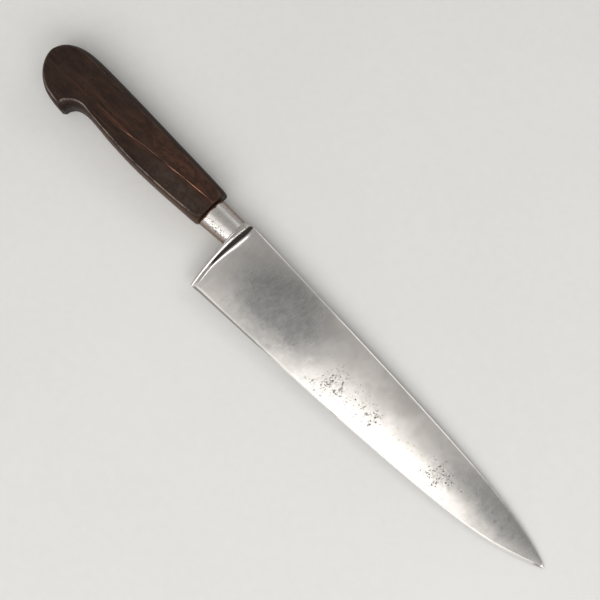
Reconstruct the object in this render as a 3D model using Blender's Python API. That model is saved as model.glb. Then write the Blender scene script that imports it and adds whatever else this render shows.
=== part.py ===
"""A French chef knife of the Nogent kind, lying on its side.

The blade, the bolster with its finger guard, the oval neck and the rat-tail tang are one steel forging. The
tang runs through a one-piece ebony handle with a hooked butt, is set in cutler's cement, and is peened over a
small rosette at the butt. Nothing on the knife moves.

Every piece is modelled in the knife's own frame, in millimetres: X along the neck's axis to the tip, from the
handle's front face; Y towards the spine; Z out of the blade's upper side. The empty "lying_on_its_side" turns
and moves that frame so that the knife rests on z = 0, and mesh_object turns millimetres into metres.
"""

import math

import bpy
import numpy as np

MM = 0.001
GAP = 0.3  # between two pieces that touch

# Handle: the outline at mid thickness, and the outline of its flat sides, point for point. Both start at the
# front face's spine corner and run over the spine, round the butt, to the tip of the beak.
BACK_WIDEST = [
    (-0.1, 10.6), (-1.6, 11.9), (-20.0, 12.7), (-50.0, 13.5), (-78.0, 14.3), (-94.0, 14.3), (-103.0, 13.4),
    (-109.5, 10.9), (-113.9, 7.0), (-115.9, 1.0), (-114.4, -5.6), (-110.0, -11.5), (-103.8, -15.7),
    (-97.0, -17.5), (-90.9, -18.0),
]
BACK_FLAT = [
    (-0.8, 8.0), (-2.6, 9.0), (-20.0, 9.8), (-50.0, 10.5), (-78.0, 11.0), (-93.0, 11.2), (-101.5, 10.9),
    (-107.4, 9.1), (-112.0, 5.9), (-114.6, 0.8), (-113.2, -5.2), (-109.0, -10.6), (-103.0, -14.3),
    (-97.2, -15.7), (-92.8, -16.2),
]
# From the tip of the beak through the notch and along the belly to the front face.
BELLY_WIDEST = [
    (-90.9, -18.0), (-89.2, -16.8), (-88.6, -14.6), (-86.6, -11.9), (-82.4, -10.3), (-76.0, -10.1),
    (-62.0, -11.3), (-46.0, -11.9), (-30.0, -11.6), (-14.0, -10.6), (-2.0, -9.8), (0.0, -8.6),
]
BELLY_FLAT = [
    (-92.8, -16.2), (-93.0, -14.8), (-91.6, -12.2), (-88.6, -9.5), (-83.6, -7.9), (-76.4, -8.6),
    (-62.0, -9.6), (-46.0, -10.3), (-30.0, -9.8), (-14.0, -8.7), (-4.0, -7.4), (-0.8, -5.6),
]
OUTLINE_STEPS = 4  # points on each stretch between two of the points above
FRONT_HALF = 8.4  # half thickness at the front face
BUTT_HALF = 9.3  # half thickness at the butt: the sides are flat and widen backwards
HANDLE_LENGTH = 115.9
WALL_SHARE = 0.3  # share of the half thickness where the wall is upright
ROUND_STEPS = 3
ROUND_END = math.radians(72)  # the rounding stops short of the flat side and leaves an arris

# Neck: an oval between the handle and the bolster.
NECK_LENGTH = 17.2
NECK_BACK = (8.5, -8.7, 6.6)  # top, bottom, half thickness at the handle
NECK_FRONT = (8.5, -7.3, 6.3)
NECK_FLARE = 0.8  # the small fillet where the neck meets the flange
SQUARENESS = 0.92  # power below 1 that fills the oval's shoulders a little

# Bolster: a flange as tall as the heel, wide at the neck and thin at the heel. Its faces bow a little.
FLANGE_X = 17.6
FLANGE_TOP = 8.9
FLANGE_HALF = 7.0
FLANGE_HEEL_HALF = 1.15
FLANGE_TAPER_FROM = -3.0
FLANGE_TAPER_POWER = 1.25
RIM = 1.5
FILLET_SHARE = 0.6  # length of the concave fillet for each millimetre that the flange stands proud
FILLET_LEAST = 0.6
BOW_RADIUS = 135.0
BOW_MIDDLE = -10.0

# Blade: spine and edge outlines to the tip.
TIP = (246.5, -8.9)
SPINE = [
    (22.5, 9.8), (64.0, 8.3), (111.0, 6.7), (158.0, 4.5), (189.0, 2.4), (204.0, 0.9), (217.5, -1.0),
    (229.5, -3.4), (239.0, -5.9), TIP,
]
EDGE = [
    (22.5, -33.6), (64.0, -31.7), (111.0, -29.2), (158.0, -26.0), (189.0, -23.1), (204.0, -21.0),
    (217.5, -18.5), (229.5, -15.2), (239.0, -12.1), TIP,
]
HEEL_Y = -33.8
HEEL_HALF = 2.15  # half thickness of the spine at the heel
TAPER_ALONG = 0.0026  # the flat side closes in this much for each millimetre towards the tip
TAPER_DOWN = 0.0438  # and for each millimetre down from the heel's spine
TIP_SLOPE = 0.35  # near the tip the half thickness is at most this share of the blade's height
BEVEL = 1.3  # height of the sharpened bevel
BLADE_FROM = 26.0  # where the fillet has run out
BLADE_STATIONS = 22
TIP_CAP = 0.25  # the last section stands this far before the tip and closes it with a small face

# Tang, cement and rosette.
TANG_FRONT = (4.0, 2.9)  # half height and half thickness where it leaves the neck
TANG_BACK = (2.3, 2.1)
BORE_MOUTH = 3.0  # the bore's cutter starts this far in front of the handle
BORE_FRONT_RADIUS = 5.6
BORE_BACK_RADIUS = 3.4
CEMENT_END = -111.6
ROSETTE_RADIUS = 4.2
ROSETTE_EDGE = 0.4
ROSETTE_BACK = -115.6
ROSETTE_FRONT = ROSETTE_BACK + 1.1
HEAD_RADIUS = 3.1
HEAD_HEIGHT = 0.5

HALF_RING = 12  # faces from spine to edge on one side of a forging section
ROUND_SIDES = 28

# The middle of the whole knife, above which the row's origin lies.
CENTRE = ((TIP[0] - HANDLE_LENGTH) / 2, (14.4 + HEEL_Y) / 2)

STEEL = ("steel", (0.56, 0.55, 0.53), 0.34, 1.0)
EBONY = ("ebony", (0.035, 0.021, 0.016), 0.5, 0.0)
CEMENT = ("cement", (0.05, 0.028, 0.018), 0.7, 0.0)
BRASS = ("brass", (0.52, 0.38, 0.17), 0.38, 1.0)


def clear_scene():
    for obj in list(bpy.data.objects):
        bpy.data.objects.remove(obj)


def new_collection(name):
    collection = bpy.data.collections.new(name)
    bpy.context.scene.collection.children.link(collection)
    return collection


def new_material(name, colour, roughness, metallic):
    material = bpy.data.materials.new(name)
    material.use_nodes = True
    shader = material.node_tree.nodes["Principled BSDF"]
    shader.inputs["Base Color"].default_value = (*colour, 1.0)
    shader.inputs["Roughness"].default_value = roughness
    shader.inputs["Metallic"].default_value = metallic
    material.diffuse_color = (*colour, 1.0)
    return material


def mesh_object(name, points, faces, collection, material=None):
    """A smooth-shaded mesh object from points in millimetres."""
    mesh = bpy.data.meshes.new(name)
    mesh.from_pydata((np.asarray(points, float) * MM).tolist(), [], faces)
    mesh.validate()
    mesh.shade_smooth()
    mesh.set_sharp_from_angle(angle=math.radians(32))
    obj = bpy.data.objects.new(name, mesh)
    collection.objects.link(obj)
    if material:
        mesh.materials.append(new_material(*material))
    return obj


def curve_through(points, steps):
    """Catmull-Rom curve through the points, without its last point."""
    points = np.asarray(points, float)
    ends = np.vstack([2 * points[0] - points[1], points, 2 * points[-1] - points[-2]])
    share = np.arange(steps)[:, None] / steps
    found = []
    for before, start, end, after in zip(ends, ends[1:], ends[2:], ends[3:]):
        found.append(
            start
            + share * (end - before) / 2
            + share**2 * (before - 2.5 * start + 2 * end - after / 2)
            + share**3 * (1.5 * (start - end) + (after - before) / 2)
        )
    return np.vstack(found)


def loft(rings, closed_loop=False):
    """Points and faces of a skin over rings of equal length, capped unless the last ring meets the first."""
    count = len(rings[0])
    points = np.vstack(rings)
    faces = []
    for row in range(len(rings) if closed_loop else len(rings) - 1):
        here, there = row * count, (row + 1) % len(rings) * count
        for column in range(count):
            across = (column + 1) % count
            faces.append((here + column, here + across, there + across, there + column))
    if not closed_loop:
        faces.append(tuple(reversed(range(count))))
        faces.append(tuple(range(len(points) - count, len(points))))
    return points, faces


def handle_outlines():
    """The handle's outline at mid thickness and that of its flat sides, with matching points."""
    widest, flat = (
        np.vstack(
            [
                curve_through(back, OUTLINE_STEPS),
                curve_through(belly, OUTLINE_STEPS),
                belly[-1],
            ]
        )
        for back, belly in ((BACK_WIDEST, BELLY_WIDEST), (BACK_FLAT, BELLY_FLAT))
    )
    return widest, flat


def half_thickness(x):
    return FRONT_HALF + (BUTT_HALF - FRONT_HALF) * (-x / HANDLE_LENGTH)


def make_handle(collection, cutters):
    widest, flat = handle_outlines()
    upper = []
    for angle in ROUND_END * np.arange(ROUND_STEPS + 1) / ROUND_STEPS:
        inward = (1 - math.cos(angle)) / (1 - math.cos(ROUND_END))
        height = WALL_SHARE + (1 - WALL_SHARE) * math.sin(angle) / math.sin(ROUND_END)
        outline = widest + (flat - widest) * inward
        upper.append(np.column_stack([outline, half_thickness(outline[:, 0]) * height]))
    lower = [ring * (1, 1, -1) for ring in reversed(upper)]
    handle = mesh_object("handle", *loft(lower + upper), collection, EBONY)
    outside = ROSETTE_BACK - 3.0
    for name, start, end, radii in (
        ("tang_bore", outside, BORE_MOUTH, (BORE_BACK_RADIUS, BORE_FRONT_RADIUS)),
        ("rosette_seat", outside, ROSETTE_FRONT + GAP, (ROSETTE_RADIUS + GAP, ROSETTE_RADIUS + GAP)),
    ):
        cutter = mesh_object(name, *loft([circle(start, radii[0]), circle(end, radii[1])]), cutters)
        cutter.hide_render = True
        cutter.display_type = "WIRE"
        cut = handle.modifiers.new(name, "BOOLEAN")
        cut.operation = "DIFFERENCE"
        cut.solver = "EXACT"
        cut.object = cutter
    return handle


def circle(x, radius, squash=1.0):
    """A ring across the X axis. A loft over such rings faces out where X rises from ring to ring."""
    angles = 2 * np.pi * np.arange(ROUND_SIDES) / ROUND_SIDES
    return np.column_stack([np.full(ROUND_SIDES, x), radius * np.cos(angles), radius * squash * np.sin(angles)])


def between(x, ends, values):
    """The value at x on a straight line from values[0] at ends[0] to values[1] at ends[1]."""
    return values[0] + (values[1] - values[0]) * (x - ends[0]) / (ends[1] - ends[0])


def bore_radius(x):
    return between(x, (BORE_MOUTH, ROSETTE_BACK - 3.0), (BORE_FRONT_RADIUS, BORE_BACK_RADIUS))


def tang_half_size(x):
    """Half height and half thickness of the tang."""
    return [between(x, (0.0, CEMENT_END), sizes) for sizes in zip(TANG_FRONT, TANG_BACK)]


def make_cement(collection):
    """The cutler's cement: a sleeve that fills the bore round the tang."""
    outer = [circle(x, bore_radius(x) - GAP) for x in (CEMENT_END, -GAP)]
    inner = []
    for x in (-GAP, CEMENT_END):
        height, thickness = (size + GAP for size in tang_half_size(x))
        inner.append(circle(x, height, thickness / height))
    return mesh_object("tang_cement", *loft(outer + inner, closed_loop=True), collection, CEMENT)


def make_rosette(collection):
    hole = TANG_BACK[0] + GAP
    rings = [
        circle(ROSETTE_BACK, ROSETTE_RADIUS - ROSETTE_EDGE),
        circle(ROSETTE_BACK + ROSETTE_EDGE, ROSETTE_RADIUS),
        circle(ROSETTE_FRONT, ROSETTE_RADIUS),
        circle(ROSETTE_FRONT, hole),
        circle(ROSETTE_BACK, hole),
    ]
    return mesh_object("butt_rosette", *loft(rings, closed_loop=True), collection, BRASS)


def oval(x, top, bottom, half):
    """Half an oval of slightly square shape, from the spine side over +Z to the edge side."""
    angles = np.pi * np.arange(HALF_RING + 1) / HALF_RING
    cosine, sine = np.cos(angles), np.sin(angles)
    middle, radius = (top + bottom) / 2, (top - bottom) / 2
    heights = middle + radius * np.sign(cosine) * np.abs(cosine) ** SQUARENESS
    halves = half * np.abs(sine) ** SQUARENESS
    halves[[0, -1]] = 0
    return np.column_stack([np.full(HALF_RING + 1, x), heights, halves])


def flat_side(x, y):
    """Half thickness of the blade on its flat side."""
    return HEEL_HALF - TAPER_ALONG * (x - SPINE[0][0]) - TAPER_DOWN * (SPINE[0][1] - y)


def blade_half(x, top, bottom):
    """Half a blade section: spine, flat side, sharpened bevel and edge."""
    tall = top - bottom
    shoulder = bottom + min(BEVEL, tall / 3)
    heights = np.concatenate([[top], np.linspace(top, shoulder, HALF_RING - 1), [bottom]])
    halves = np.minimum(flat_side(x, heights), TIP_SLOPE * tall)
    halves[[0, -1]] = 0
    return np.column_stack([np.full(HALF_RING + 1, x), heights, halves])


def flange_half():
    """Half the bolster's outline: round over the neck, then closing in to the heel. Its face bows."""
    shoulder = [(FLANGE_TOP, 0), (8.7, 4.4), (7.4, 6.6), (4.6, FLANGE_HALF)]
    share = np.linspace(0, 1, HALF_RING - len(shoulder))
    heights = FLANGE_TAPER_FROM + (HEEL_Y - FLANGE_TAPER_FROM) * share
    halves = FLANGE_HEEL_HALF + (FLANGE_HALF - FLANGE_HEEL_HALF) * (1 - share) ** FLANGE_TAPER_POWER
    outline = np.vstack([shoulder, np.column_stack([heights, halves]), [(HEEL_Y, 0)]])
    return np.column_stack([FLANGE_X + (outline[:, 0] - BOW_MIDDLE) ** 2 / (2 * BOW_RADIUS), outline])


def bolster_halves():
    """The flange's rim and the concave fillet that runs down to the blade."""
    back = flange_half()
    root = blade_half(*SPINE[0], HEEL_Y)
    proud = np.maximum(back[:, 2] - root[:, 2], 0)
    halves = [back]
    for along, down in ((0.0, 0.0), (0.12, 0.45), (0.38, 0.78), (0.7, 0.94), (1.0, 1.0)):
        half = back + (root - back) * down
        half[:, 0] = back[:, 0] + RIM + along * (FILLET_SHARE * proud + FILLET_LEAST)
        bare = flat_side(half[:, 0], half[:, 1])
        half[1:-1, 2] = (bare + (back[:, 2] - bare) * (1 - down))[1:-1]
        halves.append(half)
    return halves


def blade_halves():
    """Blade sections from the end of the fillet to the tip, closer together towards it."""
    spine, edge = (np.vstack([curve_through(points, 6), points[-1]]) for points in (SPINE, EDGE))
    share = np.arange(BLADE_STATIONS) / (BLADE_STATIONS - 1)
    stations = BLADE_FROM + (TIP[0] - TIP_CAP - BLADE_FROM) * (1 - (1 - share) ** 1.6)
    return [blade_half(x, np.interp(x, *spine.T), np.interp(x, *edge.T)) for x in stations]


def tang_halves():
    """The tang from its peened head to the neck's back face."""
    head = ROSETTE_BACK - GAP
    halves = [
        oval(head - HEAD_HEIGHT, 0.45 * HEAD_RADIUS, -0.45 * HEAD_RADIUS, 0.45 * HEAD_RADIUS),
        oval(head - 0.6 * HEAD_HEIGHT, 0.85 * HEAD_RADIUS, -0.85 * HEAD_RADIUS, 0.85 * HEAD_RADIUS),
        oval(head, HEAD_RADIUS, -HEAD_RADIUS, HEAD_RADIUS),
    ]
    for x, place in ((head, CEMENT_END), (CEMENT_END, CEMENT_END), (GAP, 0.0)):
        height, thickness = tang_half_size(place)
        halves.append(oval(x, height, -height, thickness))
    return halves


def make_forging(collection):
    """The tang, neck, bolster and blade, lofted as one piece from the peened head to the tip."""
    neck = [
        oval(GAP, *NECK_BACK),
        oval(NECK_LENGTH - NECK_FLARE, *NECK_FRONT),
        oval(NECK_LENGTH, NECK_FRONT[0], NECK_FRONT[1] - NECK_FLARE / 2, NECK_FRONT[2] + NECK_FLARE / 2),
    ]
    rings = []
    for half in tang_halves() + neck + bolster_halves() + blade_halves():
        other_side = half[-2:0:-1] * (1, 1, -1)
        rings.append(np.vstack([half, other_side]))
    return mesh_object("blade_forging", *loft(rings), collection, STEEL)


def lay_down(pieces, forging):
    """Turns the knife about the handle's front edge until the blade's underside meets z = 0."""
    edge_x = BACK_FLAT[0][0]
    edge_z = -half_thickness(edge_x)
    points = [point.co / MM for point in forging.data.vertices]
    pitch = min(math.atan2(point.z - edge_z, point.x - edge_x) for point in points if point.x > BLADE_FROM)
    rest = bpy.data.objects.new("lying_on_its_side", None)
    forging.users_collection[0].objects.link(rest)
    rest.rotation_euler = (0, pitch, 0)
    height = edge_x * math.sin(pitch) - edge_z * math.cos(pitch)
    rest.location = (-CENTRE[0] * MM, -CENTRE[1] * MM, height * MM)
    for piece in pieces:
        piece.parent = rest


def main():
    clear_scene()
    knife = new_collection("chef_knife")
    cutters = new_collection("cutters")
    cutters.hide_render = True
    forging = make_forging(knife)
    pieces = [forging, make_handle(knife, cutters), make_cement(knife), make_rosette(knife)]
    lay_down(pieces + list(cutters.objects), forging)


main()
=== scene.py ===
"""The looks of an old French chef knife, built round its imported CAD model.

Each piece is modelled in the knife's own frame, in millimetres: X along the neck's axis to the tip, from
the handle's front face; Y towards the spine; Z out of the blade's upper side. mesh_of() turns that into
metres, and piece() lays the piece down as the CAD model lies. Materials work in the same frame, in metres.
"""

import math

import bmesh
import bpy
import numpy as np
from mathutils import Matrix, Vector, noise


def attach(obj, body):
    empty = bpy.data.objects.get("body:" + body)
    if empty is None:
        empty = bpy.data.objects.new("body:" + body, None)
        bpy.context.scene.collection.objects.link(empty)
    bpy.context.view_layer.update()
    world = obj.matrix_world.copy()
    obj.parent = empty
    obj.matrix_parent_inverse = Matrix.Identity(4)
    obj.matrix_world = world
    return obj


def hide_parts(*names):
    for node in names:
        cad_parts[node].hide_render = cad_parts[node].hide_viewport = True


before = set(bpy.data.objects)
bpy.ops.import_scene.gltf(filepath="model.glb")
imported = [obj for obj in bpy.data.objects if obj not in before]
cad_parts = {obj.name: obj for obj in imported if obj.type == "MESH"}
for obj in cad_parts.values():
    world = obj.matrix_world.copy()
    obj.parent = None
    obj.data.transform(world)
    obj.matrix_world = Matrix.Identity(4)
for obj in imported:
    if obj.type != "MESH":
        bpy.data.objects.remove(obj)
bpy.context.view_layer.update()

MM = 0.001
GAP = 0.3  # between two pieces that touch

# The handle's outline at mid thickness and that of its flat sides, point for point, as in the CAD model.
BACK_WIDEST = [
    (-0.1, 10.6), (-1.6, 11.9), (-20.0, 12.7), (-50.0, 13.5), (-78.0, 14.3), (-94.0, 14.3),
    (-103.0, 13.4), (-109.5, 10.9), (-113.9, 7.0), (-115.9, 1.0), (-114.4, -5.6), (-110.0, -11.5),
    (-103.8, -15.7), (-97.0, -17.5), (-90.9, -18.0),
]
BACK_FLAT = [
    (-0.8, 8.0), (-2.6, 9.0), (-20.0, 9.8), (-50.0, 10.5), (-78.0, 11.0), (-93.0, 11.2), (-101.5, 10.9),
    (-107.4, 9.1), (-112.0, 5.9), (-114.6, 0.8), (-113.2, -5.2), (-109.0, -10.6), (-103.0, -14.3),
    (-97.2, -15.7), (-92.8, -16.2),
]
BELLY_WIDEST = [
    (-90.9, -18.0), (-89.2, -16.8), (-88.6, -14.6), (-86.6, -11.9), (-82.4, -10.3), (-76.0, -10.1),
    (-62.0, -11.3), (-46.0, -11.9), (-30.0, -11.6), (-14.0, -10.6), (-2.0, -9.8), (0.0, -8.6),
]
BELLY_FLAT = [
    (-92.8, -16.2), (-93.0, -14.8), (-91.6, -12.2), (-88.6, -9.5), (-83.6, -7.9), (-76.4, -8.6),
    (-62.0, -9.6), (-46.0, -10.3), (-30.0, -9.8), (-14.0, -8.7), (-4.0, -7.4), (-0.8, -5.6),
]
MIDDLE_LINE = [(-99.0, -1.0), (-80.0, 1.6), (-6.0, 1.2)]  # the flat sides are meshed towards this line
FLAT_RINGS = (0.94, 0.87, 0.78, 0.68, 0.56, 0.44, 0.33, 0.23, 0.15, 0.09, 0.045, 0.018)  # share of the way
FRONT_HALF = 8.4
BUTT_HALF = 9.3
HANDLE_LENGTH = 115.9
WALL_SHARE = 0.3  # share of the half thickness where the wall is upright
ROUND_END = math.radians(72)  # the rounding stops short of the flat side and leaves an arris
ROUND_STEPS = 11
ARRIS_DROP = 0.06
ARRIS_WEAR_GLINT = (1.0, 0.45)  # lightening for wear and a painted glint: on the arris, and on the ring below it
ARRIS_WEAR_GLINT_INSIDE = 0.3  # on the flat side's outermost ring
HANDLE_TOP = 14.4  # how far the handle reaches towards the spine
HANDLE_WAVES = ((17.0, 0.14, 1), (5.0, 0.03, 2))  # size, height and seed of the sides' unevenness,
HANDLE_BEND = (23.0, 0.15, 3)  # and of the outline's
BORE = (-118.6, 3.4, 3.0, 5.6)  # x and radius of the bore at the butt and before the front
CEMENT_END = -111.6

# The long crack in the handle's upper side, from the front face backwards, and the short one beyond it.
CRACK = [
    (0.6, 3.0), (-5.3, 3.0), (-11.7, 2.3), (-20.9, 1.6), (-29.0, 0.5), (-33.8, 0.6), (-40.8, -0.4),
    (-46.8, -1.0), (-54.4, -2.3), (-61.4, -3.5), (-66.5, -4.2),
]
SHORT_CRACK = [(-60.0, -0.9), (-66.0, -1.7), (-72.0, -2.3), (-78.5, -3.0)]
CRACK_SIDES = (-0.12, 0.08)  # the slit's two walls, off its line
CRACK_FLOOR = 0.02
LIP_SLOPE = (2.6, 0.4)  # how wide and how deep the worn lip is, for each millimetre of wear

NECK_LENGTH = 17.2
NECK_BACK = (8.5, -8.7, 6.6)  # top, bottom, half thickness at the handle
NECK_FRONT = (8.5, -7.3, 6.3)
SQUARENESS = 0.92  # power below 1 that fills the oval's shoulders a little
NECK_FLARE = 0.8
NECK_BREAK = 0.25  # the broken edge at the neck's back

FLANGE_X = 17.6
FLANGE_TOP = 8.9
FLANGE_HALF = 7.0
FLANGE_HEEL_HALF = 1.15
FLANGE_TAPER_FROM = -3.0
FLANGE_TAPER_POWER = 1.25
SHOULDER = [(FLANGE_TOP, 0), (8.7, 4.4), (7.4, 6.6), (4.6, FLANGE_HALF), (FLANGE_TAPER_FROM, FLANGE_HALF)]
RIM = 1.5
RIM_SINK = 0.45  # how far in the rim's rounding takes its two edges
FILLET_SHARE = 0.76  # length of the hollow fillet for each millimetre that the flange stands proud
FILLET_LEAST = 0.25
FILLET_POWER = 2.3  # how hollow it is: 1 is a straight slope
SLOPE_BELOW = 2.2  # the fillet turns into a slope where the flange stands less proud than this,
SLOPE_BLEND = 1.4  # over this much
SLOPE_LONGER = 0.35  # which makes it longer by this
FOOT = 0.15  # flat stretch at the fillet's foot, which keeps its shading off the blade
SHADE_GRIME_START = 0.05  # share of the fillet's length over which the grime and painted shade in it set in,
SHADE_GRIME_END = 0.62  # share where it ends,
SHADE_GRIME_FADE = 0.16  # and over which it fades before that
SHADE_GRIME_PROUD = (1.5, 1.1)  # it sets in where the flange stands this proud, over this much more
BOW_RADIUS = 135.0
BOW_MIDDLE = -10.0

TIP = (246.5, -8.9)
SPINE = [
    (22.5, 9.8), (64.0, 8.3), (111.0, 6.7), (158.0, 4.5), (189.0, 2.4), (204.0, 0.9), (217.5, -1.0),
    (229.5, -3.4), (239.0, -5.9), TIP,
]
EDGE = [
    (22.5, -33.6), (64.0, -31.7), (111.0, -29.2), (158.0, -26.0), (189.0, -23.1), (204.0, -21.0),
    (217.5, -18.5), (229.5, -15.2), (239.0, -12.1), TIP,
]
HEEL_Y = -33.8
HEEL_HALF = 2.15
TAPER_ALONG = 0.0026  # the half thickness falls by this for each millimetre towards the tip,
TAPER_DOWN = 0.0438  # and by this for each millimetre towards the edge
TIP_SLOPE = 0.35  # greatest half thickness, as a share of the blade's height
BLADE_FROM = 26.0
BLADE_STATIONS = 230
CROWN = 0.26  # the ground sides bulge this much at mid height
CROWN_FULL = 34.0  # where the blade is at least this tall
SPINE_CHAMFER = (0.52, 0.24)  # how far the worn spine corners reach down the side and in along the spine
CHAMFER_FULL = 8.0  # where the blade is at least this tall
CHAMFER_BOW = 0.04  # the chamfer bulges by this share of its depth
BEVEL = 0.7  # height of the sharpened bevel
BEVEL_AT_HEEL = 0.7  # so much more at the heel,
BEVEL_FADE = 60.0  # fading over this length
BEVEL_SLOPE = 2.2  # its least height, in half thicknesses of the blade above it
BEVEL_MOST = 0.25  # its greatest height, as a share of the blade's
BEVEL_FROM = 21.7  # the edge looks sharpened from here to the tip
GRIND_WAVES = ((30.0, 0.010, 5), (9.0, 0.002, 6))  # size, height and seed of the sides' unevenness
NICK = (239.6, -6.0)  # in the spine near the tip
NICK_RADIUS = 0.7
NICK_DEPTH = 0.45

TANG_FRONT = (4.0, 2.9)  # half height and half thickness
TANG_BACK = (2.3, 2.1)
ROSETTE_BACK = -115.6
ROSETTE_FRONT = -114.5
ROSETTE_RADIUS = 4.2
ROSETTE_ROUND = 0.4
HEAD_RADIUS = 3.1
HEAD_HEIGHT = 0.5

# The CAD model lies tip down, turned by pitch_of_rest() about the handle's front edge, and moved so that
# the row's origin is below this point.
CENTRE = ((TIP[0] - HANDLE_LENGTH) / 2, (HANDLE_TOP + HEEL_Y) / 2)

# The camera above the knife: its place over the row's origin in metres, its turn about the vertical, and
# its lean towards the picture's top.
CAMERA_FOOT = (0.0440, -0.0350)
CAMERA_HEIGHT = 0.5628
CAMERA_TURN = math.radians(44.92)
CAMERA_LEAN = math.radians(6.5)
SENSOR = 36.0
FOCAL = 66.0

WHITE = (1.0, 1.0, 1.0)
WARM = (1.0, 0.99, 0.97)
# The lamps: place, the point each one faces, size, power and colour.
SOFTBOXES = {
    # The bright stretch on the lower half of the blade is the mirror image of these two.
    "highlight": ((0.29, -0.48, 1.5), (0.29, -0.48, 0.0), (0.31, 0.72), 2.3, WARM),
    "halo": ((0.27, -0.52, 1.52), (0.27, -0.52, 0.0), (0.68, 1.0), 1.2, WARM),
    "heel_side": ((-0.35, -0.62, 1.5), (-0.35, -0.62, 0.0), (0.5, 0.8), 1.1, WARM),
    # This one lights the worn corner along the spine.
    "spine_side": ((0.35, 1.0, 0.85), (0.35, 0.0, 0.0), (1.0, 0.4), 1.8, WHITE),
    "key": ((0.55, -1.45, 1.45), (0.0, 0.0, 0.0), (2.0, 1.1), 18, (1.0, 0.98, 0.95)),
    "tip_side": ((1.35, -0.35, 1.3), (0.0, 0.0, 0.0), (0.9, 0.9), 8, WHITE),
}
WORLD_COLOUR = (1.0, 0.98, 0.96)
WORLD_STRENGTH = 0.47
FLOOR_SIZE = 9.0
FLOOR_DROP = 0.0001

# Marks on the steel, in millimetres: the centre and radii of each cluster of pits and how crowded it is.
PIT_CLUSTERS = [
    ((108, -18), (7, 5), 1.0),
    ((131, -16), (6, 6), 0.9),
    ((122, -19), (9, 6), 0.6),
    ((112, -12), (10, 5), 0.35),
    ((102, -25), (8, 3), 0.6),
    ((178, -13), (8, 7), 0.85),
    ((172, -18), (6, 3), 0.6),
    ((60, -16), (26, 12), 0.22),
    ((155, -17), (60, 10), 0.2),
]
# The small round stains near the tip: centre and radius.
STAINS = [
    ((216.5, -4.0), 1.0),
    ((212.4, -9.6), 0.9),
    ((217, -9.6), 1.1),
    ((224, -9.1), 0.8),
    ((218.4, -13.2), 0.6),
    ((208.5, -7.4), 0.5),
]


# ---------------------------------------------------------------- mesh helpers


def curve_through(points, steps):
    """Catmull-Rom curve through the points, without its last point."""
    points = np.asarray(points, float)
    ends = np.vstack([2 * points[0] - points[1], points, 2 * points[-1] - points[-2]])
    share = np.arange(steps)[:, None] / steps
    found = []
    for before, start, end, after in zip(ends, ends[1:], ends[2:], ends[3:]):
        found.append(
            start
            + share * (end - before) / 2
            + share**2 * (before - 2.5 * start + 2 * end - after / 2)
            + share**3 * (1.5 * (start - end) + (after - before) / 2)
        )
    return np.vstack(found)


def loft(rings, closed_loop=False):
    """Points and faces of a skin over equal rings, capped unless the last ring meets the first."""
    count = len(rings[0])
    points = np.vstack(rings)
    faces = []
    for row in range(len(rings) if closed_loop else len(rings) - 1):
        here, there = row * count, (row + 1) % len(rings) * count
        for column in range(count):
            across = (column + 1) % count
            faces.append((here + column, here + across, there + across, there + column))
    if not closed_loop:
        faces.append(tuple(reversed(range(count))))
        faces.append(tuple(range(len(points) - count, len(points))))
    return points, faces


def smooth_step(value):
    value = np.clip(value, 0, 1)
    return value * value * (3 - 2 * value)


def between(x, ends, values):
    """The value at x on a straight line from values[0] at ends[0] to values[1] at ends[1]."""
    return values[0] + (values[1] - values[0]) * (x - ends[0]) / (ends[1] - ends[0])


def ripple(points, size, height, seed):
    """Smooth random heights over the points, features of the given size, all in millimetres."""
    shift = Vector((seed * 7.1, seed * 3.3, seed * 5.7))
    return np.array([height * noise.noise(Vector(point) / size + shift) for point in points])


def circle(x, radius, sides=96):
    """A ring across the X axis. A loft over such rings faces out where X rises from ring to ring."""
    angles = 2 * np.pi * np.arange(sides) / sides
    return np.column_stack([np.full(sides, x), radius * np.cos(angles), radius * np.sin(angles)])


def mesh_of(name, points, faces, attributes=()):
    """A smooth-shaded mesh in metres, with named values on its points."""
    mesh = bpy.data.meshes.new(name)
    mesh.from_pydata((np.asarray(points, float) * MM).tolist(), [], faces)
    for attribute, values in attributes:
        layer = mesh.attributes.new(attribute, "FLOAT", "POINT")
        layer.data.foreach_set("value", np.asarray(values, np.float32))
    mesh.shade_smooth()
    return mesh


def points_of(mesh):
    """The mesh's points in millimetres."""
    flat = np.empty(len(mesh.vertices) * 3)
    mesh.vertices.foreach_get("co", flat)
    return flat.reshape(-1, 3) / MM


def set_points(mesh, points):
    mesh.vertices.foreach_set("co", (points * MM).ravel())


def rest_matrix(pitch):
    """The knife's own frame to the row's frame, in metres."""
    edge_x, edge_z = BACK_FLAT[0][0], -half_thickness(BACK_FLAT[0][0])
    height = edge_x * math.sin(pitch) - edge_z * math.cos(pitch)
    place = Vector((-CENTRE[0], -CENTRE[1], height)) * MM
    return Matrix.Translation(place) @ Matrix.Rotation(pitch, 4, "Y")


def piece(mesh, node, materials, rest):
    """Lays a mesh down and puts it in the scene in place of its CAD node."""
    mesh.transform(rest)
    chosen = [face.material_index for face in mesh.polygons]
    mesh.materials.clear()
    for material in materials:
        mesh.materials.append(material)
    mesh.polygons.foreach_set("material_index", chosen)
    obj = bpy.data.objects.new(node + "_skin", mesh)
    bpy.context.scene.collection.objects.link(obj)
    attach(obj, "root")
    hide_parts(node)
    return obj


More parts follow.
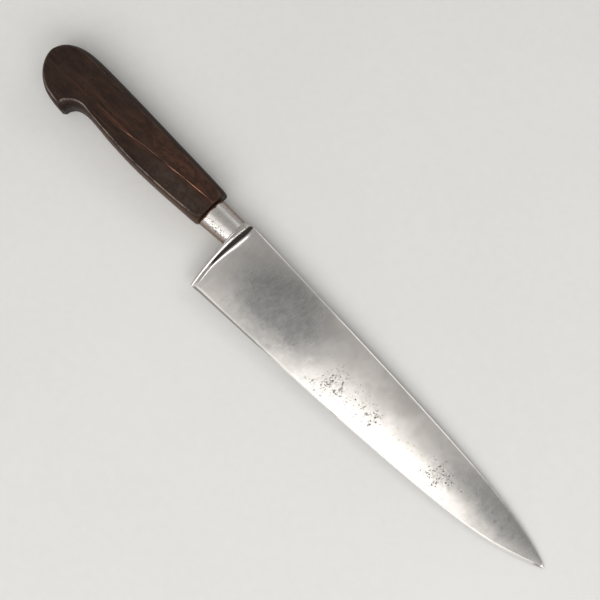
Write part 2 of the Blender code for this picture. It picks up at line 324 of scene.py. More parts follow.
def cut(mesh, cutters):
    """The mesh with the cutters' solids taken out. Each cutter brings the index of its cut's material."""
    scene = bpy.context.scene.collection
    body = bpy.data.objects.new("cutting", mesh)
    scene.objects.link(body)
    tools = []
    for index, ((points, faces), material_index) in enumerate(cutters):
        shape = mesh_of(f"cutter_{index}", points, faces)
        shape.polygons.foreach_set("material_index", [material_index] * len(faces))
        tool = bpy.data.objects.new(shape.name, shape)
        scene.objects.link(tool)
        tools.append(tool)
        modifier = body.modifiers.new(tool.name, "BOOLEAN")
        modifier.operation = "DIFFERENCE"
        modifier.solver = "MANIFOLD"
        modifier.object = tool
    graph = bpy.context.evaluated_depsgraph_get()
    found = bpy.data.meshes.new_from_object(body.evaluated_get(graph))
    for obj in [body, *tools]:
        bpy.data.objects.remove(obj)
    return found


# ---------------------------------------------------------------- handle


def half_thickness(x):
    return FRONT_HALF + (BUTT_HALF - FRONT_HALF) * (-x / HANDLE_LENGTH)


def outline(back, belly, steps=10, front_steps=14):
    front = curve_through([belly[-1], back[0]], front_steps)
    return np.vstack([curve_through(back, steps), curve_through(belly, steps), front])


def nearest_on_middle(points):
    """For each point, the nearest point of the handle's middle line."""
    found = np.zeros_like(points)
    best = np.full(len(points), np.inf)
    for start, end in zip(np.array(MIDDLE_LINE), np.array(MIDDLE_LINE[1:])):
        way = end - start
        share = np.clip((points - start) @ way / (way @ way), 0, 1)
        there = start + share[:, None] * way
        gap = np.linalg.norm(points - there, axis=1)
        closer = gap < best
        found[closer], best[closer] = there[closer], gap[closer]
    return found


def handle_rings():
    """Rings from the middle of the upper flat side outwards to mid thickness, and each ring's share of
    wear and painted glint.
    """
    widest, flat = outline(BACK_WIDEST, BELLY_WIDEST), outline(BACK_FLAT, BELLY_FLAT)
    middle = nearest_on_middle(flat)
    rings, wear_and_glint = [], []
    for share in FLAT_RINGS:
        ring = flat + (middle - flat) * share
        rings.append(np.column_stack([ring, half_thickness(ring[:, 0])]))
        wear_and_glint.append(0.0)
    wear_and_glint[-1] = ARRIS_WEAR_GLINT_INSIDE
    for step in range(ROUND_STEPS, -1, -1):
        angle = ROUND_END * step / ROUND_STEPS
        inward = (1 - math.cos(angle)) / (1 - math.cos(ROUND_END))
        height = WALL_SHARE + (1 - WALL_SHARE) * math.sin(angle) / math.sin(ROUND_END)
        ring = widest + (flat - widest) * inward
        drop = ARRIS_DROP if step == ROUND_STEPS else 0.0
        rings.append(np.column_stack([ring, half_thickness(ring[:, 0]) * height - drop]))
        rank = ROUND_STEPS - step
        wear_and_glint.append(ARRIS_WEAR_GLINT[rank] if rank < len(ARRIS_WEAR_GLINT) else 0.0)
    return rings, wear_and_glint


def crack_cutter(path, lip, depth, seed):
    """A slit along the path in the upper flat side, its lip worn down on the side towards the spine."""
    line = curve_through(path, 8)
    rings = []
    for index, (x, y) in enumerate(line):
        share = index / (len(line) - 1)
        uneven = 0.65 + 0.6 * noise.noise(Vector((x * 0.13, seed, 3)))
        worn = lip * uneven * min(1.0, 5 * (1 - share) + 0.25)
        y += 0.15 * noise.noise(Vector((x * 0.6, seed, 0)))
        top = half_thickness(x)
        rings.append([
            (x, y + CRACK_SIDES[0], top + 0.4),
            (x, y + CRACK_SIDES[1] + worn * LIP_SLOPE[0], top + 0.4),
            (x, y + CRACK_SIDES[1], top - worn * LIP_SLOPE[1]),
            (x, y + CRACK_FLOOR, top - depth * (1.2 - share)),
        ])
    return loft(np.array(rings))


def wear_glint_share(points):
    """How much the arris is lightened, for wear and a painted glint: most along the lit belly and in the
    notch, little at the front and the shaded spine.
    """
    belly = smooth_step((2 - points[:, 1]) / 4) * smooth_step((-2.5 - points[:, 0]) / 4)
    beak = smooth_step((points[:, 0] + 108) / 12)
    return belly * (0.35 + 0.65 * beak) + 0.12 * (1 - belly)


def make_handle(rest):
    upper, wear_and_glint = handle_rings()
    lower = [ring * (1, 1, -1) for ring in upper]
    rings = lower + upper[::-1]
    points, faces = loft(rings)
    worn = np.repeat(wear_and_glint + wear_and_glint[::-1], len(upper[0])) * wear_glint_share(points)
    mesh = mesh_of("handle_skin", points, faces, [("wear_and_glint", worn)])
    bore = loft([circle(BORE[0], BORE[1]), circle(BORE[2], BORE[3])])
    seat_radius = ROSETTE_RADIUS + GAP
    seat = loft([circle(BORE[0], seat_radius), circle(ROSETTE_FRONT + GAP, seat_radius)])
    cracks = [
        crack_cutter(CRACK, lip=0.5, depth=1.5, seed=1),
        crack_cutter(SHORT_CRACK, lip=0.2, depth=0.7, seed=2),
    ]
    mesh = cut(mesh, [(bore, 0), (seat, 0)] + [(crack, 1) for crack in cracks])
    points = points_of(mesh)
    side = np.sign(points[:, 2]) * (np.abs(points[:, 2]) > 0.5)
    points[:, 2] += side * sum(ripple(points, *wave) for wave in HANDLE_WAVES)
    points[:, 1] += ripple(points, *HANDLE_BEND)
    set_points(mesh, points)
    mesh.set_sharp_from_angle(angle=math.radians(40))
    return piece(mesh, "handle", [ebony(), split_wood()], rest)


# ---------------------------------------------------------------- forging


HALF_RING = 52
SPINE_POINTS = 7  # of them on the spine and its worn corner


def flat_side(x, y):
    return HEEL_HALF - TAPER_ALONG * (x - SPINE[0][0]) - TAPER_DOWN * (SPINE[0][1] - y)


def oval(x, top, bottom, half):
    angles = np.pi * np.arange(HALF_RING + 1) / HALF_RING
    cosine, sine = np.cos(angles), np.sin(angles)
    middle, radius = (top + bottom) / 2, (top - bottom) / 2
    heights = middle + radius * np.sign(cosine) * np.abs(cosine) ** SQUARENESS
    halves = half * np.abs(sine) ** SQUARENESS
    halves[[0, -1]] = 0
    return np.column_stack([np.full(HALF_RING + 1, x), heights, halves])


def blade_half(x, top, bottom):
    """Half a blade section: spine with a worn corner, crowned side, sharpened bevel and edge."""
    tall = top - bottom
    bevel = BEVEL + BEVEL_AT_HEEL * math.exp(-(x - BLADE_FROM) / BEVEL_FADE)
    bevel = max(bevel, BEVEL_SLOPE * flat_side(x, bottom + BEVEL))
    bevel = min(bevel, BEVEL_MOST * tall)
    corner, inward = (size * min(1.0, tall / CHAMFER_FULL) for size in SPINE_CHAMFER)
    side = HALF_RING - SPINE_POINTS - 1
    share = np.linspace(0, 1, side + 1)
    down = corner + (tall - corner - bevel) * share
    heights = np.concatenate([np.full(SPINE_POINTS, top), top - down, [bottom]])
    crown = CROWN * (4 * share * (1 - share)) * min(1.0, tall / CROWN_FULL)
    halves = np.zeros(HALF_RING + 1)
    halves[SPINE_POINTS:-1] = flat_side(x, top - down) + crown
    side_top = flat_side(x, top - corner)
    turn = np.linspace(0, 1, SPINE_POINTS - 2, endpoint=False)
    bow = CHAMFER_BOW * inward * 4 * turn * (1 - turn)
    halves[2:SPINE_POINTS] = side_top - inward * (1 - turn) + bow
    heights[2:SPINE_POINTS] = top - corner * turn
    halves[1] = (side_top - inward) / 2
    halves *= min(1.0, TIP_SLOPE * tall / halves.max())
    return np.column_stack([np.full(HALF_RING + 1, x), heights, halves])


def flange_half():
    """Half the bolster's outline: round over the neck, then closing in to the heel. Its face bows."""
    shoulder = curve_through(SHOULDER, 5)
    share = np.linspace(0, 1, HALF_RING - len(shoulder))
    heights = FLANGE_TAPER_FROM + (HEEL_Y - FLANGE_TAPER_FROM) * share
    halves = FLANGE_HEEL_HALF + (FLANGE_HALF - FLANGE_HEEL_HALF) * (1 - share) ** FLANGE_TAPER_POWER
    profile = np.vstack([shoulder, np.column_stack([heights, halves]), [(HEEL_Y, 0)]])
    bow = (profile[:, 0] - BOW_MIDDLE) ** 2 / (2 * BOW_RADIUS)
    return np.column_stack([FLANGE_X + bow, profile])


def bolster_halves():
    """The flange with its rounded rim, the hollow fillet that runs down to the blade, and the grime and
    painted shade in that fillet.
    """
    back = flange_half()
    root = blade_half(*SPINE[0], HEEL_Y)
    halves = []
    for turn in np.linspace(0, np.pi, 13):
        sink = RIM_SINK * (1 - math.sin(turn))
        half = back.copy()
        half[:, 0] += RIM * (1 - math.cos(turn)) / 2
        half[0, 1] -= sink
        half[-1, 1] += sink
        half[:, 2] = np.maximum(back[:, 2] - sink, back[:, 2] * 0.5)
        halves.append(half)
    recess = [np.zeros(HALF_RING + 1)] * len(halves)
    proud = np.maximum(back[:, 2] - root[:, 2], 0)
    thin = smooth_step((SLOPE_BELOW - proud) / SLOPE_BLEND)
    power = FILLET_POWER + (1 - FILLET_POWER) * thin
    length = FILLET_SHARE * proud + FILLET_LEAST + SLOPE_LONGER * thin
    for share in np.linspace(0, 1, 25):
        along = share**1.5
        down = (1 - (1 - along) ** power)[:, None]
        half = back + (root - back) * down
        half[:, 0] = back[:, 0] + RIM + along * length
        halves.append(half)
        hollow = smooth_step(along / SHADE_GRIME_START) * smooth_step((SHADE_GRIME_END - along) / SHADE_GRIME_FADE)
        recess.append(hollow * smooth_step((proud - SHADE_GRIME_PROUD[0]) / SHADE_GRIME_PROUD[1]))
    halves.append(halves[-1] + (FOOT, 0, 0))
    recess.append(recess[-1])
    return halves, recess


def blade_outlines():
    return (np.vstack([curve_through(points, 20), points[-1]]) for points in (SPINE, EDGE))


def blade_stations():
    """From the end of the fillet to the tip, closer together towards it."""
    share = np.arange(BLADE_STATIONS) / (BLADE_STATIONS - 1)
    return BLADE_FROM + (TIP[0] - 0.12 - BLADE_FROM) * (1 - (1 - share) ** 1.35)


def forging_halves():
    """Half sections from the peened head to the tip, and the grime and painted shade on each of their
    points.
    """
    head = ROSETTE_BACK - GAP
    halves = []
    for turn in np.linspace(0.12, np.pi / 2, 8):
        radius = HEAD_RADIUS * math.sin(turn)
        halves.append(oval(head - HEAD_HEIGHT * math.cos(turn), radius, -radius, radius))
    for x, place in ((head, CEMENT_END), (CEMENT_END, CEMENT_END), (GAP, 0.0)):
        sizes = zip(TANG_FRONT, TANG_BACK)
        height, thickness = (between(place, (0.0, CEMENT_END), pair) for pair in sizes)
        halves.append(oval(x, height, -height, thickness))
    halves.append(oval(GAP, *(size - math.copysign(NECK_BREAK, size) for size in NECK_BACK)))
    for x in np.linspace(GAP + NECK_BREAK, NECK_LENGTH - NECK_FLARE, 34):
        sizes = zip(NECK_BACK, NECK_FRONT)
        halves.append(oval(x, *(between(x, (GAP, NECK_LENGTH), pair) for pair in sizes)))
    for turn in np.linspace(0.2, np.pi / 2, 6):
        flare = NECK_FLARE * (1 - math.cos(turn)) / 2
        x = NECK_LENGTH - NECK_FLARE + NECK_FLARE * math.sin(turn)
        halves.append(oval(x, NECK_FRONT[0], NECK_FRONT[1] - flare, NECK_FRONT[2] + flare))
    recess = [np.zeros(HALF_RING + 1)] * len(halves)
    bolster, hollow = bolster_halves()
    halves += bolster
    recess += hollow
    spine, edge = blade_outlines()
    for x in blade_stations():
        halves.append(blade_half(x, np.interp(x, *spine.T), np.interp(x, *edge.T)))
        recess.append(np.zeros(HALF_RING + 1))
    return halves, recess


def make_forging(rest):
    halves, recess = forging_halves()
    points, faces = loft([np.vstack([half, half[-2:0:-1] * (1, 1, -1)]) for half in halves])
    recess = np.concatenate([np.concatenate([value, value[-2:0:-1]]) for value in recess])
    side = np.sign(points[:, 2]) * (np.abs(points[:, 2]) > 0.05)
    fade = smooth_step((points[:, 0] - BLADE_FROM) / 12)
    points[:, 2] += side * fade * sum(ripple(points, *wave) for wave in GRIND_WAVES)
    near = np.hypot(*(points[:, :2] - NICK).T)
    points[:, 1] -= NICK_DEPTH * smooth_step(1 - near / NICK_RADIUS)
    lowest = np.tile(np.arange(2 * HALF_RING) == HALF_RING, len(halves))
    at_edge = lowest * (points[:, 0] > BEVEL_FROM)
    mesh = mesh_of("forging_skin", points, faces, [("recess", recess), ("sharpened", at_edge)])
    mesh.set_sharp_from_angle(angle=math.radians(21))
    return piece(mesh, "blade_forging", [forged_steel()], rest)


# ---------------------------------------------------------------- rosette


def make_rosette(rest):
    hole = TANG_BACK[0] + GAP
    rings = []
    for turn in np.linspace(0, np.pi / 2, 7)[::-1]:
        x = ROSETTE_BACK + ROSETTE_ROUND * (1 - math.sin(turn))
        rings.append(circle(x, ROSETTE_RADIUS - ROSETTE_ROUND * (1 - math.cos(turn))))
    for x, radius in ((ROSETTE_FRONT, ROSETTE_RADIUS), (ROSETTE_FRONT, hole), (ROSETTE_BACK, hole)):
        rings.append(circle(x, radius))
    mesh = mesh_of("rosette_skin", *loft(rings, closed_loop=True))
    mesh.set_sharp_from_angle(angle=math.radians(40))
    return piece(mesh, "butt_rosette", [old_brass()], rest)


# ---------------------------------------------------------------- materials


class Surface:
    """One material's nodes. Values are sockets or plain numbers."""

    def __init__(self, name):
        self.material = bpy.data.materials.new(name)
        self.material.use_nodes = True
        self.tree = self.material.node_tree
        self.shader = self.tree.nodes["Principled BSDF"]
        laid_down = rest_matrix(pitch_of_rest())
        inputs = {
            "Vector": self.node("ShaderNodeTexCoord").outputs["Object"],
            "Location": laid_down.translation,
            "Rotation": laid_down.to_euler(),
        }
        self.place = self.node("ShaderNodeMapping", inputs, vector_type="TEXTURE").outputs[0]

    def node(self, kind, inputs=(), **settings):
        made = self.tree.nodes.new(kind)
        for name, value in settings.items():
            setattr(made, name, value)
        for name, value in dict(inputs).items():
            self.put(made.inputs[name], value)
        return made

    def put(self, socket, value):
        if isinstance(value, bpy.types.NodeSocket):
            self.tree.links.new(value, socket)
        elif socket.type == "RGBA":
            socket.default_value = (*value, 1.0)
        else:
            socket.default_value = value

    def shade(self, **values):
        for name, value in values.items():
            self.put(self.shader.inputs[name.replace("_", " ")], value)
        return self.material

    def math(self, operation, *values, clamp=False):
        made = self.node("ShaderNodeMath", enumerate(values), operation=operation, use_clamp=clamp)
        return made.outputs[0]

    def chain(self, operation, values):
        total = values[0]
        for value in values[1:]:
            total = self.math(operation, total, value)
        return total

    def add(self, *values):
        return self.chain("ADD", values)

    def times(self, *values):
        return self.chain("MULTIPLY", values)

    def greatest(self, *values):
        return self.chain("MAXIMUM", values)

    def absolute(self, value):
        return self.math("ABSOLUTE", value)

    def wavering(self, value, reach):
        """A 0 to 1 noise as a change of up to half the reach to either side."""
        return self.times(self.math("SUBTRACT", value, 0.5), reach)

    def vector(self, operation, first, second):
        made = self.node("ShaderNodeVectorMath", {0: first, 1: second}, operation=operation)
        return made.outputs["Value" if operation in ("LENGTH", "DOT_PRODUCT") else "Vector"]

    def scaled(self, per_metre, place=None, turn=0.0):
        """The place multiplied along each axis, after a turn about Z."""
        place = place or self.place
        if turn:
            place = self.node("ShaderNodeVectorRotate", {"Vector": place, "Angle": turn}).outputs[0]
        return self.vector("MULTIPLY", place, per_metre)

    def noise(self, per_metre, detail=3.0, roughness=0.55, place=None, turn=0.0, distortion=0.0):
        inputs = {
            "Vector": self.scaled(per_metre, place, turn),
            "Scale": 1.0,
            "Detail": detail,
            "Roughness": roughness,
            "Distortion": distortion,
        }
        return self.node("ShaderNodeTexNoise", inputs).outputs["Fac"]

    def map(self, value, start, end, low=0.0, high=1.0, smooth=True):
        kind = "SMOOTHSTEP" if smooth else "LINEAR"
        inputs = {"Value": value, "From Min": start, "From Max": end, "To Min": low, "To Max": high}
        made = self.node("ShaderNodeMapRange", inputs, interpolation_type=kind)
        return made.outputs["Result"]

    def mix(self, share, first, second):
        made = self.node("ShaderNodeMix", data_type="RGBA", clamp_factor=True)
        for index, value in ((0, share), (6, first), (7, second)):
            self.put(made.inputs[index], value)
        return made.outputs[2]

    def axis(self, name, place=None):
        split = self.node("ShaderNodeSeparateXYZ", {"Vector": place or self.place})
        return split.outputs[name]

    def spot(self, centre, radii, soft=0.5, place=None):
        """1 inside an ellipse of the blade's plane, in millimetres, falling to 0 at its rim."""
        centre = (centre[0] * MM, centre[1] * MM, 0.0)
        moved = self.vector("SUBTRACT", place or self.place, centre)
        ratio = self.vector("MULTIPLY", moved, (1000 / radii[0], 1000 / radii[1], 0.0))
        far = self.vector("LENGTH", ratio, (0.0, 0.0, 0.0))
        return self.map(far, 1.0 - soft, 1.0 + soft, 1.0, 0.0)

    def moved(self, place, **by):
        """The place shifted by values for its X and Y, in metres."""
        return self.vector("ADD", place, self.node("ShaderNodeCombineXYZ", by).outputs[0])

    def attribute(self, name):
        return self.node("ShaderNodeAttribute", attribute_name=name).outputs["Fac"]

    def bump(self, height, distance, normal=None):
        inputs = {"Height": height, "Distance": distance, "Strength": 1.0}
        if normal is not None:
            inputs["Normal"] = normal
        return self.node("ShaderNodeBump", inputs).outputs[0]

    def warped(self, place, per_metre, reach):
        """The place pushed about by noise, by up to half the reach in metres."""
        inputs = {"Vector": self.scaled((per_metre,) * 3, place), "Scale": 1.0, "Detail": 3.0}
        push = self.node("ShaderNodeTexNoise", inputs).outputs["Color"]
        push = self.vector("SUBTRACT", push, (0.5,) * 3)
        return self.vector("ADD", place, self.vector("MULTIPLY", push, (reach,) * 3))

    def pits(self, cell, share, place):
        """1 in round pits, at most one to a cell of that size in mm, in that share of the cells."""
        inputs = {"Vector": self.scaled((1000 / cell,) * 3, place), "Scale": 1.0, "Randomness": 1.0}
        cells = self.node("ShaderNodeTexVoronoi", inputs, feature="F1", voronoi_dimensions="2D")
        draw = self.axis("X", cells.outputs["Color"])
        luck = self.math("SUBTRACT", draw, self.math("SUBTRACT", 1.0, share))
        radius = self.map(luck, 0.0, 0.6, 0.08, 0.42, smooth=False)
        near = self.math("DIVIDE", cells.outputs["Distance"], radius)
        return self.times(self.map(near, 0.6, 1.05, 1.0, 0.0), self.map(luck, 0.0, 0.02))


def forged_steel():
    s = Surface("forged_steel")
    x, z = s.axis("X"), s.axis("Z")
    under = s.map(z, -0.0002, 0.0002, 1.0, 0.0, smooth=False)
    # The pattern is shifted on the lower side, so that its marks aren't those of the upper side.
    place = s.moved(s.place, X=s.times(under, -0.031), Y=s.times(under, 0.004))
    warped = s.warped(place, 120, 0.012)
    crumbled = s.warped(place, 1300, 0.0009)
    on_blade = s.map(x, 0.0225, 0.025)
    off_blade = s.math("SUBTRACT", 1.0, on_blade)
    on_neck = s.map(x, 0.0165, 0.0175, 1.0, 0.0)
    off_neck = s.math("SUBTRACT", 1.0, on_neck)

    scratches = s.noise((5200, 130, 400), detail=2.0, place=place, turn=0.03)
    coarse = s.noise((1500, 60, 200), detail=3.0, place=place, turn=-0.06)
    lengthwise = s.noise((90, 4200, 4200), detail=2.0, place=place)
    cloud = s.noise((75, 75, 75), detail=4.0, place=warped)
    mottle = s.noise((420, 420, 420), detail=4.0, place=place)
    streaked = s.noise((1800, 90, 200), detail=3.0, place=place, turn=0.25)

    patina = s.spot((61, -9), (30, 18), 0.55, warped)
    patina = s.greatest(patina, s.times(s.spot((213, -5), (38, 9), 0.7, warped), 0.85))
    faded = s.add(s.times(cloud, 0.4), s.times(mottle, 0.35), s.times(streaked, 0.25))
    patina = s.times(patina, s.map(faded, 0.36, 0.62, 0.75, 1.0), on_blade)

    clusters = s.greatest(
        *(s.times(s.spot(centre, radii, 0.7, place), much) for centre, radii, much in PIT_CLUSTERS)
    )
    uneven = s.map(s.noise((330, 330, 330), detail=2.0, place=place), 0.35, 0.6)
    off_band = s.absolute(s.math("ADD", s.axis("Y", place), 0.0045))
    neck_band = s.times(on_neck, s.map(off_band, 0.0010, 0.0035, 1.0, 0.0))
    share = s.greatest(s.times(clusters, uneven), s.times(neck_band, 0.7), 0.03)
    pits = s.pits(2.0, s.times(share, 0.8), crumbled)
    for cell, much in ((1.1, 0.9), (0.6, 0.8)):
        pits = s.greatest(pits, s.times(s.pits(cell, s.times(share, much), crumbled), 0.9))

    stains = s.greatest(
        *(s.spot(centre, (radius, radius * 0.8), 0.8, crumbled) for centre, radius in STAINS)
    )

    # Grime and painted shade in the bolster's fillet: a dark colour that stands in for the dark
    # surroundings the fillet reflects.
    grime_and_shade = s.attribute("recess")
    # The sharpened bevel is darker, partly for its own ground finish and partly as painted shade for the
    # dark reflection it shows. It is darkest near the heel.
    bevel = s.map(s.attribute("sharpened"), 0.05, 0.25)
    heel_bevel = s.times(bevel, s.map(x, 0.060, 0.085, 0.75, 0.0))
    ragged = s.add(x, s.wavering(mottle, 0.0030))
    rust = s.map(ragged, 0.0010, 0.0017, 1.0, 0.0)
    # Brown tarnish and painted reflection: the neck's edges are browned to stand in for brown surroundings
    # mirrored in them.
    tarnish_and_reflection = s.times(on_neck, s.map(s.absolute(z), 0.0028, 0.0055, 0.9, 0.0))
    smudge = s.map(s.add(s.times(mottle, 0.6), s.times(cloud, 0.4)), 0.42, 0.60)
    smudge = s.times(clusters, smudge)

    colour = s.mix(s.map(cloud, 0.3, 0.7), (0.60, 0.575, 0.545), (0.69, 0.665, 0.635))
    colour = s.mix(s.times(s.map(scratches, 0.35, 0.75), 0.2), colour, (0.30, 0.30, 0.30))
    colour = s.mix(s.times(patina, 0.9), colour, (0.155, 0.160, 0.164))
    bright_scratches = s.times(patina, s.map(scratches, 0.56, 0.70), 0.3)
    colour = s.mix(bright_scratches, colour, (0.5, 0.49, 0.47))
    colour = s.mix(s.times(bevel, 0.6), colour, (0.32, 0.315, 0.305))
    colour = s.mix(heel_bevel, colour, (0.11, 0.108, 0.104))
    colour = s.mix(tarnish_and_reflection, colour, (0.15, 0.088, 0.055))
    colour = s.mix(s.times(stains, 0.32), colour, (0.10, 0.10, 0.105))
    colour = s.mix(s.times(smudge, on_blade, 0.30), colour, (0.22, 0.215, 0.21))
    colour = s.mix(s.times(pits, 0.72), colour, (0.070, 0.066, 0.062))
    grime_and_shade_colour = s.mix(mottle, (0.010, 0.008, 0.007), (0.034, 0.028, 0.023))
    colour = s.mix(grime_and_shade, colour, grime_and_shade_colour)
    rust_colour = s.mix(mottle, (0.016, 0.010, 0.008), (0.13, 0.052, 0.022))
    colour = s.mix(rust, colour, rust_colour)

    rough = s.add(0.20, s.wavering(scratches, 0.10), s.wavering(cloud, 0.05))
    for mark, much in (
        (on_neck, 0.07),
        (patina, 0.10),
        (pits, 0.4),
        (grime_and_shade, 0.4),
        (rust, 0.45),
        (bevel, 0.15),
    ):
        rough = s.add(rough, s.times(mark, much))
    dull = s.add(s.times(rust, 0.9), s.times(grime_and_shade, 0.95), s.times(pits, 0.3), s.times(tarnish_and_reflection, 0.8))
    metal = s.math("SUBTRACT", 1.0, dull, clamp=True)

    height = s.add(
        s.times(scratches, s.add(0.10, s.times(off_neck, 0.40))),
        s.times(coarse, s.add(0.10, s.times(off_neck, 0.25))),
        s.times(lengthwise, off_blade, 0.3),
    )
    normal = s.bump(height, 0.0000045)
    normal = s.bump(s.times(pits, -1.0), 0.00008, normal)
    normal = s.bump(s.times(rust, mottle), 0.00010, normal)
    return s.shade(
        Base_Color=colour, Roughness=rough, Metallic=metal, Normal=normal, Specular_IOR_Level=0.2
    )


def ebony():
    s = Surface("old_ebony")
    bend = s.noise((18, 30, 30), detail=2.0)
    fibres_at = s.moved(s.place, Y=s.times(bend, 0.006))
    fibres = s.noise((70, 2600, 2600), detail=4.0, roughness=0.6, place=fibres_at)
    bands = s.noise((20, 500, 500), detail=4.0, roughness=0.65, place=fibres_at)
    pores = s.map(s.noise((260, 6500, 6500), detail=2.0, place=fibres_at), 0.60, 0.70)
    cloud = s.noise((60, 110, 110), detail=5.0, roughness=0.6)
    specks = s.noise((900, 900, 900), detail=3.0)
    blotches = s.map(s.noise((260, 380, 380), detail=5.0, roughness=0.62), 0.42, 0.62)
    wear_and_glint = s.attribute("wear_and_glint")

    fan = s.spot((-68, -3.2), (21, 4.6), 0.7)
    front = s.spot((-24, 5.5), (28, 4.5), 0.8)
    belly = s.spot((-18, -4.5), (20, 4.5), 0.8)
    streaks = s.map(bands, 0.50, 0.64)
    red_fan = s.times(fan, s.map(bands, 0.46, 0.62), 0.75)
    red = s.greatest(red_fan, s.times(front, s.add(0.25, s.times(blotches, 0.75)), 0.6))

    colour = s.mix(s.map(cloud, 0.3, 0.7), (0.0130, 0.0065, 0.0045), (0.0250, 0.0125, 0.0082))
    colour = s.mix(s.times(streaks, 0.16), colour, (0.060, 0.028, 0.017))
    colour = s.mix(s.times(s.map(fibres, 0.35, 0.75), 0.35), colour, (0.058, 0.034, 0.024))
    colour = s.mix(s.times(red, 0.62), colour, (0.120, 0.045, 0.024))
    colour = s.mix(s.times(belly, s.add(0.35, s.times(blotches, 0.45))), colour, (0.050, 0.037, 0.029))
    colour = s.mix(s.times(blotches, 0.17), colour, (0.062, 0.036, 0.025))
    colour = s.mix(s.times(pores, 0.7), colour, (0.007, 0.005, 0.004))
    colour = s.mix(s.times(s.map(specks, 0.58, 0.72), 0.2), colour, (0.085, 0.062, 0.048))

    y = s.axis("Y")
    off_flat = s.map(s.absolute(s.axis("Z")), 0.0066, 0.0082, 1.0, 0.0)
    in_notch = s.spot((-89, -14), (7, 6), 0.4)
    # Painted shade: the rounding on the spine side and the wall of the notch are darkened where the light
    # doesn't reach them.
    painted_side_shade = s.times(off_flat, s.greatest(s.map(y, 0.000, 0.006), in_notch))
    colour = s.mix(s.times(painted_side_shade, 0.65), colour, (0.008, 0.0035, 0.002))
    # Painted light: the rounding on the belly side, which faces the lamps, is lightened.
    along_belly = s.times(s.map(y, -0.009, -0.006, 1.0, 0.0), s.map(s.axis("X"), -0.085, -0.060))
    painted_belly_light = s.times(off_flat, along_belly, s.map(cloud, 0.30, 0.60, 0.25, 0.6))
    colour = s.mix(painted_belly_light, colour, (0.105, 0.052, 0.030))
    # The worn arris, lightened further as a painted glint.
    scuff_and_glint = s.times(wear_and_glint, s.map(s.add(cloud, s.times(specks, 0.4)), 0.52, 0.82))
    colour = s.mix(s.times(scuff_and_glint, 0.8), colour, (0.36, 0.31, 0.27))

    rough = s.add(0.46, s.wavering(fibres, 0.2), s.wavering(cloud, 0.25))
    height = s.add(s.times(fibres, 0.6), s.times(pores, -0.9), s.times(specks, 0.25))
    normal = s.bump(height, 0.00006)
    normal = s.bump(bands, 0.00020, normal)
    return s.shade(Base_Color=colour, Roughness=rough, Normal=normal, Specular_IOR_Level=0.13)


def split_wood():
    """Fresh wood in the crack's worn lip, and painted shade deeper down."""
    s = Surface("split_wood")
    widening = -(BUTT_HALF - FRONT_HALF) / HANDLE_LENGTH
    surface = s.math("MULTIPLY_ADD", s.axis("X"), widening, FRONT_HALF * MM)
    depth = s.math("SUBTRACT", surface, s.axis("Z"))
    fibres = s.noise((200, 4000, 4000), detail=3.0)
    along = s.noise((60, 60, 60), detail=3.0)
    colour = s.mix(s.map(fibres, 0.3, 0.7), (0.30, 0.115, 0.06), (0.62, 0.30, 0.18))
    colour = s.mix(s.map(along, 0.42, 0.58, 0.0, 0.85), colour, (0.10, 0.045, 0.027))
    colour = s.mix(s.map(s.axis("X"), -0.062, -0.046, 0.75, 0.0), colour, (0.085, 0.038, 0.022))
    # Painted shade: the crack darkens with depth below the surface.
    colour = s.mix(s.map(depth, 0.00045, 0.0007), colour, (0.012, 0.008, 0.006))
    rough = s.add(0.55, s.times(fibres, 0.3))
    return s.shade(Base_Color=colour, Roughness=rough, Normal=s.bump(fibres, 0.0001))


def old_brass():
    s = Surface("old_brass")
    cloud = s.noise((400, 400, 400), detail=4.0)
    files = s.noise((300, 9000, 700), detail=2.0)
    colour = s.mix(s.map(cloud, 0.35, 0.65), (0.40, 0.27, 0.12), (0.60, 0.44, 0.21))
    colour = s.mix(s.times(s.map(files, 0.4, 0.7), 0.3), colour, (0.22, 0.14, 0.06))
    rough = s.add(0.3, s.times(cloud, 0.2))
    normal = s.bump(files, 0.00002)
    return s.shade(Base_Color=colour, Roughness=rough, Metallic=1.0, Normal=normal)


def resin_cement():
    s = Surface("resin_cement")
    grains = s.noise((1500, 1500, 1500), detail=4.0)
    colour = s.mix(s.map(grains, 0.4, 0.6), (0.035, 0.018, 0.011), (0.085, 0.050, 0.030))
    rough = s.add(0.5, s.times(grains, 0.4))
    return s.shade(Base_Color=colour, Roughness=rough, Normal=s.bump(grains, 0.0002))


def pale_floor():
    s = Surface("pale_floor")
    fine = s.noise((220, 220, 220), detail=4.0)
    wide = s.noise((6, 6, 6), detail=2.0)
    both = s.add(s.times(fine, 0.4), s.times(wide, 0.6))
    colour = s.mix(s.map(both, 0.3, 0.7), (0.69, 0.685, 0.67), (0.72, 0.715, 0.70))
    return s.shade(Base_Color=colour, Roughness=0.85, Normal=s.bump(fine, 0.0001))


# ---------------------------------------------------------------- stage


def make_floor():
    mesh = bpy.data.meshes.new("floor")
    shape = bmesh.new()
    bmesh.ops.create_grid(shape, x_segments=24, y_segments=24, size=FLOOR_SIZE)
    shape.to_mesh(mesh)
    shape.free()
    mesh.materials.append(pale_floor())
    floor = bpy.data.objects.new("floor", mesh)
    bpy.context.scene.collection.objects.link(floor)
    floor.location.z = -FLOOR_DROP


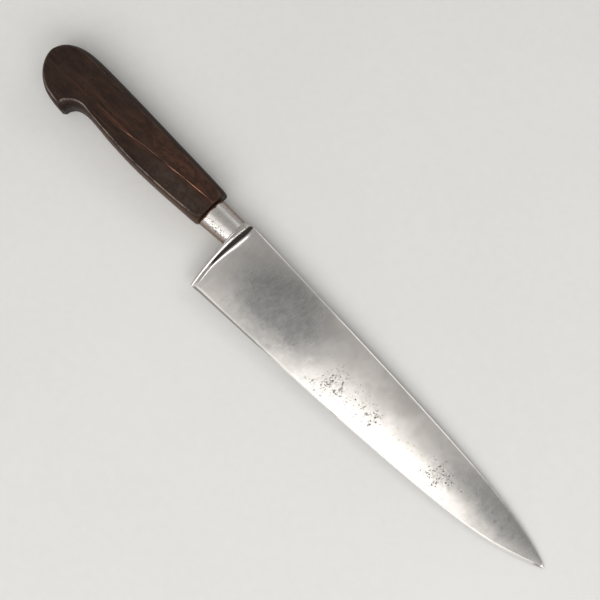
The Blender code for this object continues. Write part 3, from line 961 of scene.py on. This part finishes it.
def make_camera():
    data = bpy.data.cameras.new("camera")
    data.sensor_width = SENSOR
    data.lens = FOCAL
    data.clip_start = 0.01
    camera = bpy.data.objects.new("camera", data)
    bpy.context.scene.collection.objects.link(camera)
    right = Vector((math.cos(CAMERA_TURN), math.sin(CAMERA_TURN), 0))
    ahead = Vector((-math.sin(CAMERA_TURN), math.cos(CAMERA_TURN), 0))
    up = ahead * math.cos(CAMERA_LEAN) + Vector((0, 0, math.sin(CAMERA_LEAN)))
    back = right.cross(up)
    turn = Matrix((right, up, back)).transposed().to_4x4()
    camera.matrix_world = Matrix.Translation((*CAMERA_FOOT, CAMERA_HEIGHT)) @ turn
    bpy.context.scene.camera = camera


def softbox(name, place, target, size, power, colour):
    data = bpy.data.lights.new(name, "AREA")
    data.shape = "RECTANGLE"
    data.size, data.size_y = size
    data.energy = power
    data.color = colour
    light = bpy.data.objects.new(name, data)
    bpy.context.scene.collection.objects.link(light)
    light.location = place
    light.rotation_euler = (Vector(target) - Vector(place)).to_track_quat("-Z", "Y").to_euler()


def make_light():
    world = bpy.data.worlds.new("studio")
    bpy.context.scene.world = world
    world.use_nodes = True
    background = world.node_tree.nodes["Background"]
    background.inputs["Color"].default_value = (*WORLD_COLOUR, 1.0)
    background.inputs["Strength"].default_value = WORLD_STRENGTH
    for name, lamp in SOFTBOXES.items():
        softbox(name, *lamp)
    bpy.context.scene.view_settings.view_transform = "Standard"


def pitch_of_rest():
    """The CAD model's pitch: from the handle's front edge to the lowest place on the blade's flat side."""
    edge_x = BACK_FLAT[0][0]
    spine, edge = blade_outlines()
    least = math.inf
    for x in np.linspace(200.0, TIP[0] - 0.25, 300):
        top, bottom = np.interp(x, *spine.T), np.interp(x, *edge.T)
        half = min(flat_side(x, top), TIP_SLOPE * (top - bottom))
        least = min(least, math.atan2(half_thickness(edge_x) - half, x - edge_x))
    return least


def main():
    make_camera()
    make_light()
    make_floor()
    rest = rest_matrix(pitch_of_rest())
    make_forging(rest)
    make_handle(rest)
    make_rosette(rest)
    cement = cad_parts["tang_cement"]
    cement.data.materials.clear()
    cement.data.materials.append(resin_cement())


main()
